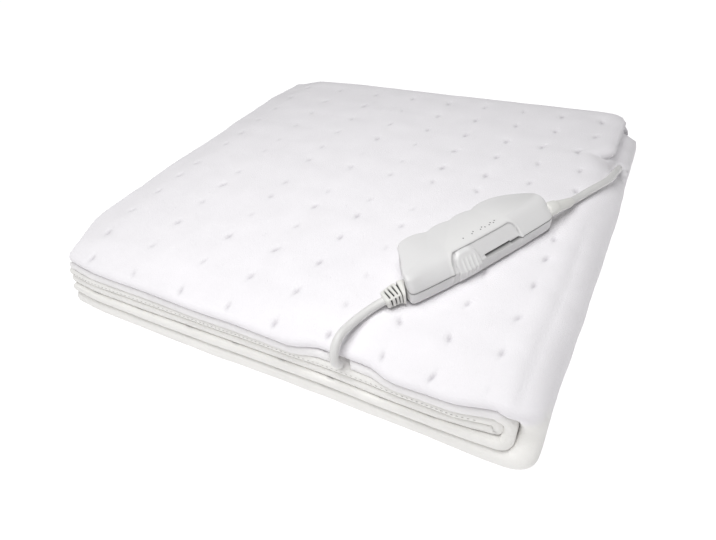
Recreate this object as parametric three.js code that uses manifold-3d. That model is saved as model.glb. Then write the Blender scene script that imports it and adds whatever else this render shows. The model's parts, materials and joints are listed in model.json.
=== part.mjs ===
// Heated mattress pad: a quilted underblanket folded to eight layers, with its hand control lying on top.
//
// Millimetres, +Z up. The pad rests on z = 0, centred on the origin. Its long hemmed front is at -Y and
// the smooth outer fold is at +X. The pad is 1500 x 800 mm when it is opened out. It is folded twice
// along its length, which gives four layers, and then once across, round the fold at +X.

import * as THREE from 'three';
import { mergeVertices } from 'three/addons/utils/BufferGeometryUtils.js';
import Module from 'manifold-3d';

const wasm = await Module();
wasm.setup();

// ---------------------------------------------------------------- driving dimensions

const seat = 0.3;

const cloth = {
  thickness: 7,
  gap: 0.8,
  front: -183,
  back: 190,
  leftEnd: -186.9,
  foldX: 178.6,
};

const control = {
  x: 103.2,
  y: -132,
  turn: 59.7,
  seam: 10,
  height: 22.5,
  depth: 44,
};

const slider = {
  start: 38,
  width: 20,
  travel: 24,
  proud: 1.6,
  recess: 2.2,
};

const lead = {
  diameter: 6.2,
  coilX: 133.7,
  coilY: 236,
  coilMiddle: 31,
  coilLift: 1.2,
  tieWidth: 9,
  tieThickness: 0.8,
};

const plug = {
  x: 32.2,
  y: 241,
  z: 6.95,
  length: 36,
  width: 35.3,
  height: 13.7,
  relief: 26,
  pinLength: 19,
  pinDiameter: 4,
  pinSpacing: 18.6,
};

// ---------------------------------------------------------------- sizes worked out from them

const pitch = cloth.thickness + cloth.gap;
const layerHeight = (layer) => cloth.gap / 2 + cloth.thickness / 2 + layer * pitch;
const halfStack = cloth.gap / 2 + 4 * cloth.thickness + 3 * cloth.gap;
const middleZ = halfStack;
const topZ = 2 * halfStack;
const backBend = cloth.back - (halfStack - cloth.gap / 2) / 2;
const rollBend = cloth.front + pitch / 2 + cloth.thickness / 2;
const leadRadius = lead.diameter / 2;

// ---------------------------------------------------------------- materials

const finish = (color, roughness, metalness = 0) =>
  new THREE.MeshStandardMaterial({ color, roughness, metalness });

const materials = {
  fleece: () => finish(0xf6f5f8, 0.95),
  shell: () => finish(0xdedddd, 0.45),
  knob: () => finish(0xe2e1e0, 0.5),
  softRubber: () => finish(0xdcdbd6, 0.6),
  sheath: () => finish(0xe4e3de, 0.55),
  tie: () => finish(0xd0d0cc, 0.8),
  pin: () => finish(0xc9c7c0, 0.25, 1),
};

const group = new THREE.Group();

function add(name, geometry, material) {
  const mesh = new THREE.Mesh(geometry, material());
  mesh.name = name;
  group.add(mesh);
  return mesh;
}

// ---------------------------------------------------------------- general helpers

const radians = THREE.MathUtils.degToRad;

const smooth = (from, to, value) => THREE.MathUtils.smoothstep(value, from, to);

// Full between -0.5 and 0.5, fading to nothing at -1 and 1.
const hump = (value) => 1 - smooth(0.5, 1, Math.abs(value));

const squared = (value, power) => Math.sign(value) * Math.abs(value) ** power;

// Reads one column of a table at a place between two of its rows.
function readTable(rows, key, column, value) {
  const last = rows.length - 1;
  const next = rows.findIndex((row) => row[key] > value);
  if (next === 0) return rows[0][column];
  if (next < 0) return rows[last][column];
  const before = rows[next - 1];
  const after = rows[next];
  const share = smooth(before[key], after[key], value);
  return THREE.MathUtils.lerp(before[column], after[column], share);
}

function signedVolume(geometry) {
  const position = geometry.attributes.position;
  const index = geometry.index.array;
  const corner = [new THREE.Vector3(), new THREE.Vector3(), new THREE.Vector3()];
  let volume = 0;
  for (let i = 0; i < index.length; i += 3) {
    corner.forEach((point, k) => point.fromBufferAttribute(position, index[i + k]));
    volume += corner[0].dot(corner[1].clone().cross(corner[2])) / 6;
  }
  return volume;
}

function facingOut(geometry) {
  if (signedVolume(geometry) < 0) {
    const index = geometry.index.array;
    for (let i = 0; i < index.length; i += 3) {
      [index[i + 1], index[i + 2]] = [index[i + 2], index[i + 1]];
    }
  }
  geometry.computeVertexNormals();
  return geometry;
}

// Joins rings of equal length into one closed solid. endOutline is the last ring laid flat.
function solidFromRings(rings, endOutline) {
  const count = rings[0].length;
  const faces = [];
  for (let ring = 0; ring < rings.length - 1; ring += 1) {
    for (let i = 0; i < count; i += 1) {
      const j = (i + 1) % count;
      const a = ring * count;
      const b = a + count;
      faces.push(a + i, a + j, b + i, a + j, b + j, b + i);
    }
  }
  const lastRing = (rings.length - 1) * count;
  for (const [a, b, c] of THREE.ShapeUtils.triangulateShape(endOutline, [])) {
    const open = THREE.ShapeUtils.isClockWise(endOutline);
    const [p, q] = open ? [c, b] : [b, c];
    faces.push(a, q, p, lastRing + a, lastRing + p, lastRing + q);
  }
  const geometry = new THREE.BufferGeometry();
  const numbers = rings.flat().flatMap((point) => point.toArray());
  geometry.setAttribute('position', new THREE.Float32BufferAttribute(numbers, 3));
  geometry.setIndex(faces);
  return geometry;
}

const bare = (geometry) => {
  geometry.deleteAttribute('normal');
  geometry.deleteAttribute('uv');
  return mergeVertices(geometry);
};

function toManifold(geometry) {
  const merged = bare(geometry.clone());
  return new wasm.Manifold(new wasm.Mesh({
    numProp: 3,
    vertProperties: new Float32Array(merged.attributes.position.array),
    triVerts: new Uint32Array(merged.index.array),
  }));
}

function fromManifold(solid) {
  const mesh = solid.getMesh();
  const geometry = new THREE.BufferGeometry();
  geometry.setAttribute('position', new THREE.Float32BufferAttribute(mesh.vertProperties, 3));
  geometry.setIndex(Array.from(mesh.triVerts));
  geometry.computeVertexNormals();
  return geometry;
}

// ---------------------------------------------------------------- the leads' routes

// The pad's own lead leaves the control, crosses the top and tucks in under the front roll.
const feedRoute = [
  [83.2, -138.2, 66.8],
  [81.0, -140.9, 66.1],
  [78.5, -145.0, 65.5],
  [76.0, -150.2, 65.2],
  [73.8, -155.8, 65.1],
  [71.9, -161.6, 65.1],
  [70.5, -167.2, 65.1],
  [69.6, -172.4, 65.5],
  [69.2, -177.3, 64.9],
  [69.1, -181.4, 62.7],
  [69.1, -184.4, 59.2],
  [69.1, -185.9, 54.8],
  [69.1, -185.9, 50.3],
  [69.1, -184.5, 46.0],
  [69.1, -181.9, 42.6],
];

// The mains lead crosses the shoulder, drops into the crease at the back and comes out behind the pad.
const mainsRoute = [
  [173.6, 12.4, 67.9],
  [175.6, 18.0, 66.6],
  [178.7, 25.6, 65.3],
  [182.4, 33.8, 64.7],
  [186.4, 42.3, 64.0],
  [190.4, 51.2, 62.9],
  [193.9, 60.4, 61.4],
  [196.5, 70.0, 59.9],
  [198.0, 80.0, 58.2],
  [198.9, 90.0, 54.9],
  [199.4, 100.0, 49.5],
  [199.5, 111.0, 43.1],
  [199.0, 123.0, 37.5],
  [197.6, 136.0, 33.2],
  [195.4, 149.0, 30.3],
  [192.8, 162.0, 28.3],
  [190.1, 175.0, 26.6],
  [187.3, 188.0, 24.2],
  [184.2, 200.0, 20.3],
  [181.4, 209.5, 16.2],
  [178.6, 217.0, 12.3],
  [177.1, 223.0, 9.0],
];

// The last of the lead steps off the coil and bends round to the plug.
const tailRoute = [
  [110.6, 273.2, 10.9],
  [103.0, 272.1, 10.8],
  [96.0, 268.8, 10.4],
  [90.2, 263.7, 9.7],
  [86.2, 257.1, 8.9],
  [82.2, 250.5, 8.1],
  [76.4, 245.4, 7.4],
  [69.5, 242.1, 7.05],
  [62.6, 241.0, 6.95],
  [plug.x + plug.relief + 2 * seat, plug.y, plug.z],
];

const asCurve = (route) =>
  new THREE.CatmullRomCurve3(route.map((point) => new THREE.Vector3(...point)), false, 'centripetal');

// Where the mains lead is, at a place along the crease that holds it.
function leadAt(y) {
  const next = mainsRoute.findIndex((point) => point[1] > y);
  const after = mainsRoute[Math.max(next, 1)];
  const before = mainsRoute[Math.max(next, 1) - 1];
  const share = (y - before[1]) / (after[1] - before[1]);
  return {
    x: THREE.MathUtils.lerp(before[0], after[0], share),
    z: THREE.MathUtils.lerp(before[2], after[2], share),
  };
}

// ---------------------------------------------------------------- the folded pad

// How far each edge stands out from its straight line, as soft cloth does.
const leftEdge = [
  { y: -183, top: 17, bottom: 27 },
  { y: -125, top: 29, bottom: 31 },
  { y: -50, top: 23, bottom: 23 },
  { y: 50, top: 14, bottom: 14 },
  { y: 130, top: 8, bottom: 8 },
  { y: 190, top: -3, bottom: -3 },
];

const rightEdge = [
  { y: -190, out: -6.5 },
  { y: -165, out: -6.5 },
  { y: -135, out: -3.5 },
  { y: -100, out: -2 },
  { y: 10, out: -1.5 },
  { y: 65, out: 0 },
];

// Here a row draws the edge in, and a negative one lets it out. The front roll dips under the thin lead.
const frontEdge = [
  { x: -209, top: 3, middle: 0, bottom: -6 },
  { x: -150, top: -3.4, middle: -4, bottom: -10 },
  { x: -60, top: -3.4, middle: -1.5, bottom: -8.5 },
  { x: 30, top: -3.4, middle: 0, bottom: -6.2 },
  { x: 52, top: 2.5, middle: 0, bottom: -6 },
  { x: 88, top: 2.5, middle: 0, bottom: -5.5 },
  { x: 110, top: -3, middle: 0, bottom: -5 },
  { x: 150, top: -2.4, middle: 0, bottom: -5 },
  { x: 186, top: 4, middle: 4, bottom: -5 },
  { x: 209, top: 10, middle: 10, bottom: -3 },
];

const backEdge = [
  { x: -209, out: -22 },
  { x: -186, out: -12 },
  { x: -150, out: -3 },
  { x: -100, out: 0 },
  { x: 160, out: 0 },
  { x: 190, out: -3 },
  { x: 209, out: -14 },
];

// A bend is round at 1 and square at 0.
const squareness = { fold: 0.45, back: 0.4 };

const frontMouth = { x: 69.2, z: 44.5, halfWidth: 11, halfHeight: 12, depth: 12, reach: 60 };
const crease = { from: 58, full: 76, halfHeight: 17, clearance: 2, reach: 75 };

// Where the panels' length is cut into rows, closer together beside the crease.
const panelRows = [-155, -110, -35, 40, 66, 80, 94, 108, 121, 134, 147, 160];

const lowerStops = [-150, -20, 110];
const upperStops = [130, 108, 88, 78, 69.2, 60.4, 50.4, 32, -60, -150];
const foldTurns = [-90, -60, -42, -25, -10, -2, 0, 13, 26, 39, 52, 65, 78, 90];

// The hemmed ends thin out over their last few millimetres.
const hemRows = [
  { inset: 0, thin: 0.45 },
  { inset: 1.2, thin: 0.85 },
  { inset: 3.6, thin: 1 },
];

// Four layers in section: across the bottom, round the back, forward, round the front roll and in again.
// Each entry has its place and the direction of the layer's left side.
function layerSpine() {
  const spine = [];
  const run = (layer, toBack) => {
    const hemmed = layer < 2;
    const start = hemmed ? cloth.front + cloth.thickness / 2 : rollBend;
    const places = [start, ...panelRows, backBend];
    const ordered = toBack ? places : places.reverse();
    ordered.forEach((y) => spine.push({ y, n: layerHeight(layer), side: [0, toBack ? 1 : -1] }));
  };
  const bend = (centreY, lowLayer, highLayer, from, to, steps) => {
    const centreN = (layerHeight(lowLayer) + layerHeight(highLayer)) / 2;
    const radius = (layerHeight(highLayer) - layerHeight(lowLayer)) / 2;
    const inward = to > from ? -1 : 1;
    for (let i = 1; i < steps; i += 1) {
      const turn = from + ((to - from) * i) / steps;
      const angle = radians(turn);
      const power = highLayer - lowLayer === 3 && turn > 0 ? squareness.back : 1;
      spine.push({
        y: centreY + radius * squared(Math.cos(angle), power),
        n: centreN + radius * squared(Math.sin(angle), power),
        side: [inward * Math.cos(angle), inward * Math.sin(angle)],
      });
    }
  };
  run(0, true);
  bend(backBend, 0, 3, -90, 90, 8);
  run(3, false);
  bend(rollBend, 2, 3, 90, 270, 6);
  run(2, true);
  bend(backBend, 1, 2, 90, -90, 6);
  run(1, false);
  return spine;
}

function sectionOutline(thin) {
  const spine = layerSpine();
  const reach = (cloth.thickness / 2) * thin;
  const beside = (point, hand) => new THREE.Vector2(
    point.y + hand * reach * point.side[0],
    point.n + hand * reach * point.side[1],
  );
  const hem = (point, hand) => [45, 90, 135].map((degrees) => {
    const angle = radians(degrees);
    return new THREE.Vector2(
      point.y - reach * Math.sin(angle),
      point.n + hand * reach * Math.cos(angle) * point.side[1],
    );
  });
  const last = spine.length - 1;
  return [
    ...spine.map((point) => beside(point, 1)),
    ...hem(spine[last], 1),
    ...spine.map((point) => beside(point, -1)).reverse(),
    ...hem(spine[0], -1),
  ];
}

// The stops that the four layers are carried through: along the bottom, round the fold, back over the top.
function foldStops() {
  const ends = hemRows.map((row) => ({ x: cloth.leftEnd + row.inset, turn: -90, thin: row.thin }));
  const flat = (turn) => (x) => ({ x, turn, thin: 1 });
  const round = foldTurns.map((turn) => ({ x: cloth.foldX, turn, thin: 1 }));
  return [
    ...ends,
    ...lowerStops.map(flat(-90)),
    ...round,
    ...upperStops.map(flat(90)),
    ...ends.map((end) => ({ ...end, turn: 90 })).reverse(),
  ];
}

// Cloth gives way to the lead that runs in the crease at the back of the fold.
function creaseShift(y, z) {
  if (y < crease.from) return 0;
  const held = leadAt(y);
  const across = held.x - cloth.foldX;
  const away = Math.hypot(across, held.z - middleZ);
  const push = Math.max(halfStack + leadRadius + crease.clearance - away, 0) * (away / across);
  return push * smooth(crease.from, crease.full, y) * hump((z - held.z) / crease.halfHeight);
}

function settle(point) {
  const level = point.z / topZ;
  const edge = (column) => readTable(frontEdge, 'x', column, point.x);
  const lower = THREE.MathUtils.lerp(edge('bottom'), edge('middle'), smooth(0.2, 0.5, level));
  const front = THREE.MathUtils.lerp(lower, edge('top'), smooth(0.5, 0.8, level));
  const mouth = frontMouth.depth
    * hump((point.x - frontMouth.x) / frontMouth.halfWidth)
    * hump((point.z - frontMouth.z) / frontMouth.halfHeight);
  const left = THREE.MathUtils.lerp(
    readTable(leftEdge, 'y', 'bottom', point.y),
    readTable(leftEdge, 'y', 'top', point.y),
    smooth(0.5, 0.85, level),
  );
  const shiftX = -left * (1 - smooth(cloth.leftEnd, -50, point.x))
    + readTable(rightEdge, 'y', 'out', point.y) * smooth(100, cloth.foldX, point.x)
    - creaseShift(point.y, point.z) * smooth(cloth.foldX - crease.reach, cloth.foldX, point.x);
  const shiftY = (front + mouth) * (1 - smooth(cloth.front, cloth.front + frontMouth.reach, point.y))
    + readTable(backEdge, 'x', 'out', point.x) * smooth(100, cloth.back, point.y);
  return new THREE.Vector3(point.x + shiftX, point.y + shiftY, point.z);
}

function padGeometry() {
  const rings = foldStops().map((stop) => {
    const turn = radians(stop.turn);
    const power = stop.turn < 0 ? squareness.fold : 1;
    return sectionOutline(stop.thin).map((place) => settle(new THREE.Vector3(
      stop.x + place.y * squared(Math.cos(turn), power),
      place.x,
      middleZ + place.y * squared(Math.sin(turn), power),
    )));
  });
  return facingOut(solidFromRings(rings, sectionOutline(hemRows[0].thin)));
}

add('pad_cloth', padGeometry(), materials.fleece);

// ---------------------------------------------------------------- the hand control

// Local axes of the control: u along it, v away from its straight side, w up from the pad.
const controlFrame = new THREE.Matrix4()
  .makeRotationZ(radians(control.turn))
  .setPosition(control.x, control.y, topZ);

function controlOutline() {
  const shape = new THREE.Shape();
  shape.moveTo(4, 0);
  shape.lineTo(122, 0);
  shape.quadraticCurveTo(133, 0.5, 139.5, 5.5);
  shape.lineTo(139.5, 15.5);
  shape.quadraticCurveTo(130, 34, 108, 44.4);
  shape.quadraticCurveTo(98, 46.5, 89, 41);
  for (const dip of [68, 46]) {
    shape.quadraticCurveTo(dip + 11, 47, dip, 41);
  }
  shape.quadraticCurveTo(36, 46.5, 21, 43.5);
  shape.quadraticCurveTo(15.5, 42.5, 12, 35);
  shape.lineTo(-3.2, 9);
  shape.quadraticCurveTo(-8, 0, 4, 0);
  const points = shape.getPoints(4).slice(0, -1);
  return THREE.ShapeUtils.isClockWise(points) ? points.reverse() : points;
}

function insetOutline(points, inset) {
  const count = points.length;
  return points.map((point, i) => {
    const along = points[(i + 1) % count].clone().sub(points[(i + count - 1) % count]).normalize();
    return new THREE.Vector2(point.x - along.y * inset, point.y + along.x * inset);
  });
}

// Each row is one level of the moulding: its height, how far it draws in, and how far its near side leans.
const lowerLevels = [
  { w: seat, inset: 2.4, lean: 0 },
  { w: 1.2, inset: 0.9, lean: 0 },
  { w: 3, inset: 0, lean: 0 },
  { w: control.seam, inset: 0, lean: 0 },
];

const upperLevels = [
  { w: control.seam + seat, inset: 0, lean: 0 },
  { w: 15, inset: 0.3, lean: 2.9 },
  { w: 19.5, inset: 1, lean: 5.8 },
  { w: 21.7, inset: 2.2, lean: 7 },
  { w: control.height, inset: 3.8, lean: 7.6 },
];

function shellGeometry(levels) {
  const outline = controlOutline();
  const flat = (level) => insetOutline(outline, level.inset).map((point) => {
    const share = Math.max(1 - point.y / control.depth, 0);
    return new THREE.Vector2(point.x, point.y + level.lean * share);
  });
  const rings = levels.map((level) => flat(level).map(
    (point) => new THREE.Vector3(point.x, point.y, level.w),
  ));
  return facingOut(solidFromRings(rings, flat(levels[levels.length - 1])));
}

// A prism along u whose section is given in v and w.
function prismAlong(section, from, length) {
  const shape = new THREE.Shape(section.map(([v, w]) => new THREE.Vector2(v, w)));
  const geometry = new THREE.ExtrudeGeometry(shape, { depth: length, bevelEnabled: false });
  const turned = new THREE.Matrix4().makeBasis(
    new THREE.Vector3(0, 1, 0),
    new THREE.Vector3(0, 0, 1),
    new THREE.Vector3(1, 0, 0),
  );
  return geometry.applyMatrix4(turned).translate(from, 0, 0);
}

// The slider runs in a shallow recess on the control's near side, with its tongue in the slot behind.
const recessStart = slider.start - 5;
const recessLength = slider.width + slider.travel + 21;
const slot = { low: control.seam - 1.1, high: control.seam + 1.4, depth: 4.2 };
const tongue = { start: slider.start + 6, length: 8, depth: 3.4 };
const nearFoot = 2.6;
const nearTop = { v: 8.4, w: 19.4 };

function sliderCuts() {
  const recess = prismAlong([
    [-6, nearFoot],
    [slider.recess, nearFoot],
    [slider.recess, control.seam],
    [nearTop.v, nearTop.w],
    [nearTop.v - 3, nearTop.w + 4],
    [-6, nearTop.w + 4],
  ], recessStart, recessLength);
  const groove = prismAlong([
    [0, slot.low],
    [slider.recess + slot.depth, slot.low],
    [slider.recess + slot.depth, slot.high],
    [0, slot.high],
  ], tongue.start - 1, tongue.length + slider.travel + 10);
  return toManifold(recess).add(toManifold(groove));
}

function placeOnPad(geometry) {
  return geometry.applyMatrix4(controlFrame);
}

const cuts = sliderCuts();
const lowerShell = toManifold(shellGeometry(lowerLevels)).subtract(cuts);
const upperShell = toManifold(shellGeometry(upperLevels)).subtract(cuts);
add('controller_lower_shell', placeOnPad(fromManifold(lowerShell)), materials.shell);
add('controller_upper_shell', placeOnPad(fromManifold(upperShell)), materials.shell);

function sliderGeometry() {
  const back = slider.recess - seat;
  const face = -slider.proud;
  const knob = prismAlong([
    [face + 1, nearFoot + seat],
    [back, nearFoot + seat],
    [back, control.seam + 0.1],
    [nearTop.v - seat - 0.3, nearTop.w - 0.1],
    [nearTop.v - 2.4, nearTop.w + 1.7],
    [nearTop.v - 4.1, nearTop.w + 1.3],
    [face + 0.5, control.seam + 2.2],
    [face, control.seam - 0.5],
    [face, nearFoot + seat + 1.2],
  ], slider.start, slider.width);
  const tab = prismAlong([
    [back - 1, slot.low + seat],
    [slider.recess + tongue.depth, slot.low + seat],
    [slider.recess + tongue.depth, slot.high - seat],
    [back - 1, slot.high - seat],
  ], tongue.start, tongue.length);
  return fromManifold(toManifold(knob).add(toManifold(tab)));
}

add('controller_slider', placeOnPad(sliderGeometry()), materials.knob);

// The ribbed relief is wide and flat. Each row is one section of it, as a share of its length.
const feedReliefRows = [
  { share: 0, width: 17.6, height: 8.8 },
  { share: 0.13, width: 17.6, height: 8.8 },
  { share: 0.16, width: 13.4, height: 7.2 },
  { share: 0.27, width: 13.4, height: 7.2 },
  { share: 0.3, width: 16.4, height: 8.8 },
  { share: 0.45, width: 15.8, height: 8.8 },
  { share: 0.48, width: 12.4, height: 7.2 },
  { share: 0.58, width: 12.4, height: 7.2 },
  { share: 0.61, width: 14.8, height: 8.8 },
  { share: 0.76, width: 14, height: 8.8 },
  { share: 0.79, width: 11.2, height: 7.2 },
  { share: 0.87, width: 11.2, height: 7.2 },
  { share: 0.9, width: 13, height: 8.6 },
  { share: 1, width: 11.6, height: 8.4 },
];

const mainsReliefRows = [
  { share: 0, width: 10.4, height: 10.4 },
  { share: 0.15, width: 10.4, height: 10.4 },
  { share: 0.17, width: 8.8, height: 8.8 },
  { share: 0.27, width: 8.8, height: 8.8 },
  { share: 0.29, width: 9.6, height: 9.6 },
  { share: 1, width: 7.4, height: 7.4 },
];

// A rounded oblong in 16 sides.
const oblong = (width, height) => Array.from({ length: 16 }, (_, i) => {
  const angle = (Math.PI * (2 * i + 1)) / 16;
  return new THREE.Vector2(
    (width / 2) * squared(Math.cos(angle), 0.6),
    (height / 2) * squared(Math.sin(angle), 0.6),
  );
});

// Sections stacked from start to end. They turn from the way the seat faces to the way the lead leaves.
function sleeveGeometry(rows, start, end, facing, leaving) {
  const flat = (row) => oblong(row.width, row.height);
  const rings = rows.map((row) => {
    const along = facing.clone().lerp(leaving, row.share).normalize();
    const across = new THREE.Vector3(0, 0, 1).cross(along).normalize();
    const up = along.cross(across).normalize();
    return flat(row).map((point) => start.clone()
      .lerp(end, row.share)
      .addScaledVector(across, point.x)
      .addScaledVector(up, point.y));
  });
  return facingOut(solidFromRings(rings, flat(rows[rows.length - 1])));
}

const onControl = (u, v, w) => new THREE.Vector3(u, v, w).applyMatrix4(controlFrame);
const alongControl = (u, v, w) => new THREE.Vector3(u, v, w).transformDirection(controlFrame);

// A relief from its seat on the control to its lead's end, which it stops just short of.
function reliefGeometry(rows, root, facing, route) {
  const leaving = asCurve(route).getTangent(0);
  const end = new THREE.Vector3(...route[0]).addScaledVector(leaving, -seat);
  return sleeveGeometry(rows, root, end, facing, leaving);
}

const endFace = { u: -1.5, v: 12.2, w: 5.7, normalU: -0.869, normalV: 0.496 };
const feedFacing = alongControl(endFace.normalU, endFace.normalV, 0);
const feedRoot = onControl(endFace.u, endFace.v, endFace.w).addScaledVector(feedFacing, seat);
add(
  'controller_feed_relief',
  reliefGeometry(feedReliefRows, feedRoot, feedFacing, feedRoute),
  materials.softRubber,
);

const mainsRoot = onControl(139.5 + seat, 10.5, 11);
add(
  'controller_mains_relief',
  reliefGeometry(mainsReliefRows, mainsRoot, alongControl(1, 0, 0), mainsRoute),
  materials.softRubber,
);

// ---------------------------------------------------------------- the leads

function leadGeometry(curve, steps) {
  const round = new THREE.Shape();
  const sides = 10;
  for (let i = 0; i < sides; i += 1) {
    const angle = (2 * Math.PI * i) / sides;
    const place = [leadRadius * Math.cos(angle), leadRadius * Math.sin(angle)];
    if (i === 0) round.moveTo(...place);
    else round.lineTo(...place);
  }
  return new THREE.ExtrudeGeometry(round, { steps, extrudePath: curve });
}

add('feed_cord', leadGeometry(asCurve(feedRoute), 10), materials.sheath);
add('mains_cord', leadGeometry(asCurve(mainsRoute), 22), materials.sheath);
add('mains_tail', leadGeometry(asCurve(tailRoute), 8), materials.sheath);

// The rest of the mains lead lies in a neat coil, four turns wide below and three above, held by a tie.
const coil = {
  inner: lead.coilMiddle - 2 * lead.diameter,
  outer: lead.coilMiddle + 2 * lead.diameter,
  low: lead.coilLift,
  shelf: lead.coilLift + lead.diameter,
  high: lead.coilLift + 2 * lead.diameter,
};

function coilGeometry() {
  const profile = [
    [coil.inner, coil.low],
    [coil.outer, coil.low],
    [coil.outer, coil.shelf],
    [coil.outer - leadRadius, coil.shelf],
    [coil.outer - leadRadius, coil.high],
    [coil.inner + leadRadius, coil.high],
    [coil.inner + leadRadius, coil.shelf],
    [coil.inner, coil.shelf],
    [coil.inner, coil.low],
  ].map(([r, z]) => new THREE.Vector2(r, z));
  return new THREE.LatheGeometry(profile, 36)
    .rotateX(Math.PI / 2)
    .translate(lead.coilX, lead.coilY, 0);
}

add('mains_coil', coilGeometry(), materials.sheath);

// A flat band round the coil's section. Its opening is listed from the coil's middle outwards.
function tieGeometry() {
  const near = coil.inner - 1.1;
  const far = coil.outer + 0.6;
  const low = coil.low - seat;
  const high = coil.high + seat;
  const loop = (grow) => {
    const cut = 0.4 + grow;
    const [a, b, c, d] = [near - grow, far + grow, low - grow, high + grow];
    return [
      [a + cut, c], [b - cut, c], [b, c + cut], [b, d - cut],
      [b - cut, d], [a + cut, d], [a, d - cut], [a, c + cut],
    ].map(([r, z]) => new THREE.Vector2(r, z));
  };
  const shape = new THREE.Shape(loop(lead.tieThickness));
  shape.holes.push(new THREE.Path(loop(0)));
  return new THREE.ExtrudeGeometry(shape, { depth: lead.tieWidth, bevelEnabled: false })
    .translate(0, 0, -lead.tieWidth / 2)
    .rotateX(Math.PI / 2)
    .rotateZ(radians(-135))
    .translate(lead.coilX, lead.coilY, 0);
}

add('coil_tie', tieGeometry(), materials.tie);

// ---------------------------------------------------------------- the plug

// The flat two-pin plug, from its pin face to the end that the lead enters.
const plugRows = [
  { share: 0, width: 33.7, height: 12.3 },
  { share: 0.05, width: plug.width, height: plug.height },
  { share: 0.42, width: plug.width, height: plug.height },
  { share: 0.6, width: 30, height: 13.4 },
  { share: 0.82, width: 19, height: 12.9 },
  { share: 0.96, width: 15.4, height: 12.4 },
  { share: 1, width: 13.8, height: 11.4 },
];

const plugReliefRows = [
  { share: 0, width: 11, height: 11 },
  { share: 0.25, width: 10.6, height: 10.6 },
  { share: 1, width: 8, height: 8 },
];

const onPlug = (x, y = 0) => new THREE.Vector3(plug.x + x, plug.y + y, plug.z);
const outwards = new THREE.Vector3(1, 0, 0);

add(
  'plug_body',
  sleeveGeometry(plugRows, onPlug(-plug.length), onPlug(0), outwards, outwards),
  materials.shell,
);

add(
  'plug_relief',
  sleeveGeometry(plugReliefRows, onPlug(seat), onPlug(seat + plug.relief), outwards, outwards),
  materials.softRubber,
);

for (const [name, side] of [['plug_pin_left', -1], ['plug_pin_right', 1]]) {
  const middle = onPlug(-plug.length - seat - plug.pinLength / 2, (side * plug.pinSpacing) / 2);
  const pin = new THREE.CylinderGeometry(plug.pinDiameter / 2, plug.pinDiameter / 2, plug.pinLength, 14)
    .rotateZ(Math.PI / 2)
    .translate(middle.x, middle.y, middle.z);
  add(name, pin, materials.pin);
}

export default group;
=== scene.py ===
# %% [markdown]
# # A heated mattress pad, folded, with its hand control on top
#
# The pad is a soft white underblanket, 1500 x 800 mm, folded into eight layers. Small spots weld
# its two faces together, and its hand control lies slantwise on the top layer. This lesson dresses
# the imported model: the frame gives every place and size, and each cell makes one piece or one
# finish.

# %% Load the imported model
import json
import math

import bmesh
import bpy
from mathutils import Matrix, Vector, noise


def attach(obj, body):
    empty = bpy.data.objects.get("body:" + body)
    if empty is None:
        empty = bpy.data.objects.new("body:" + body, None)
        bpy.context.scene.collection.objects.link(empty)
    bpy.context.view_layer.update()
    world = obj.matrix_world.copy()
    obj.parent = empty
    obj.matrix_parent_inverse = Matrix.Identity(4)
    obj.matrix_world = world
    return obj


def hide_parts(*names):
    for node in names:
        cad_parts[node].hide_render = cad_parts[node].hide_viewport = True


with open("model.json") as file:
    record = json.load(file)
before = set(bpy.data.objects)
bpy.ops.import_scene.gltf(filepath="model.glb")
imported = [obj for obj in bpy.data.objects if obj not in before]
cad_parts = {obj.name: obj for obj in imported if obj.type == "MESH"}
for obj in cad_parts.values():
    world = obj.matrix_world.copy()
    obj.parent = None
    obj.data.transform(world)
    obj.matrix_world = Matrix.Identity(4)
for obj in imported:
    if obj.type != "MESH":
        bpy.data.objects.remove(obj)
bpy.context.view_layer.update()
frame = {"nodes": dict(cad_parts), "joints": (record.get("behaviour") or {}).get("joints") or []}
print("packed nodes:", sorted(frame["nodes"]))

MM = 0.001
# vector noise starts from the clock unless it is seeded, and the cloth would differ from run to run
NOISE_SEED = 7
noise.seed_set(NOISE_SEED)

# %% [markdown]
# ## Camera
#
# The camera looks down on the front right part of the pad from the front, a little to the right. A
# wide lens close to the pad gives the strong perspective that makes the front edge large. It is
# placed by its own three axes, because the view is also rolled a few degrees.

# %% Place the camera
CAMERA_PLACE = Vector((207.3, -351.4, 322.3)) * MM
CAMERA_RIGHT = Vector((0.87930, 0.46356, -0.10923))
CAMERA_UP = Vector((-0.24451, 0.63622, 0.73174))
LENS_MM = 26.22


def put_in_scene(name, data):
    made = bpy.data.objects.new(name, data)
    bpy.context.scene.collection.objects.link(made)
    return made


camera = put_in_scene("camera", bpy.data.cameras.new("camera"))
camera.data.lens = LENS_MM
axes = Matrix((CAMERA_RIGHT, CAMERA_UP, CAMERA_RIGHT.cross(CAMERA_UP))).transposed()
camera.matrix_world = Matrix.Translation(CAMERA_PLACE) @ axes.to_4x4()
bpy.context.scene.camera = camera
print("camera at", [round(c, 3) for c in camera.location], "lens", LENS_MM)

# %% [markdown]
# ## The two leads
#
# A thin lead joins the control to the pad: it bends over the front roll and goes in between the
# layers. The mains lead leaves the other end, sinks into the crease at the back of the fold and
# comes out behind the pad, where its spare length is wound up. A lead is one smooth curve with a
# round section, because that is how a lead bends. Both repeat the routes that the solid leads were
# made with.

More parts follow.
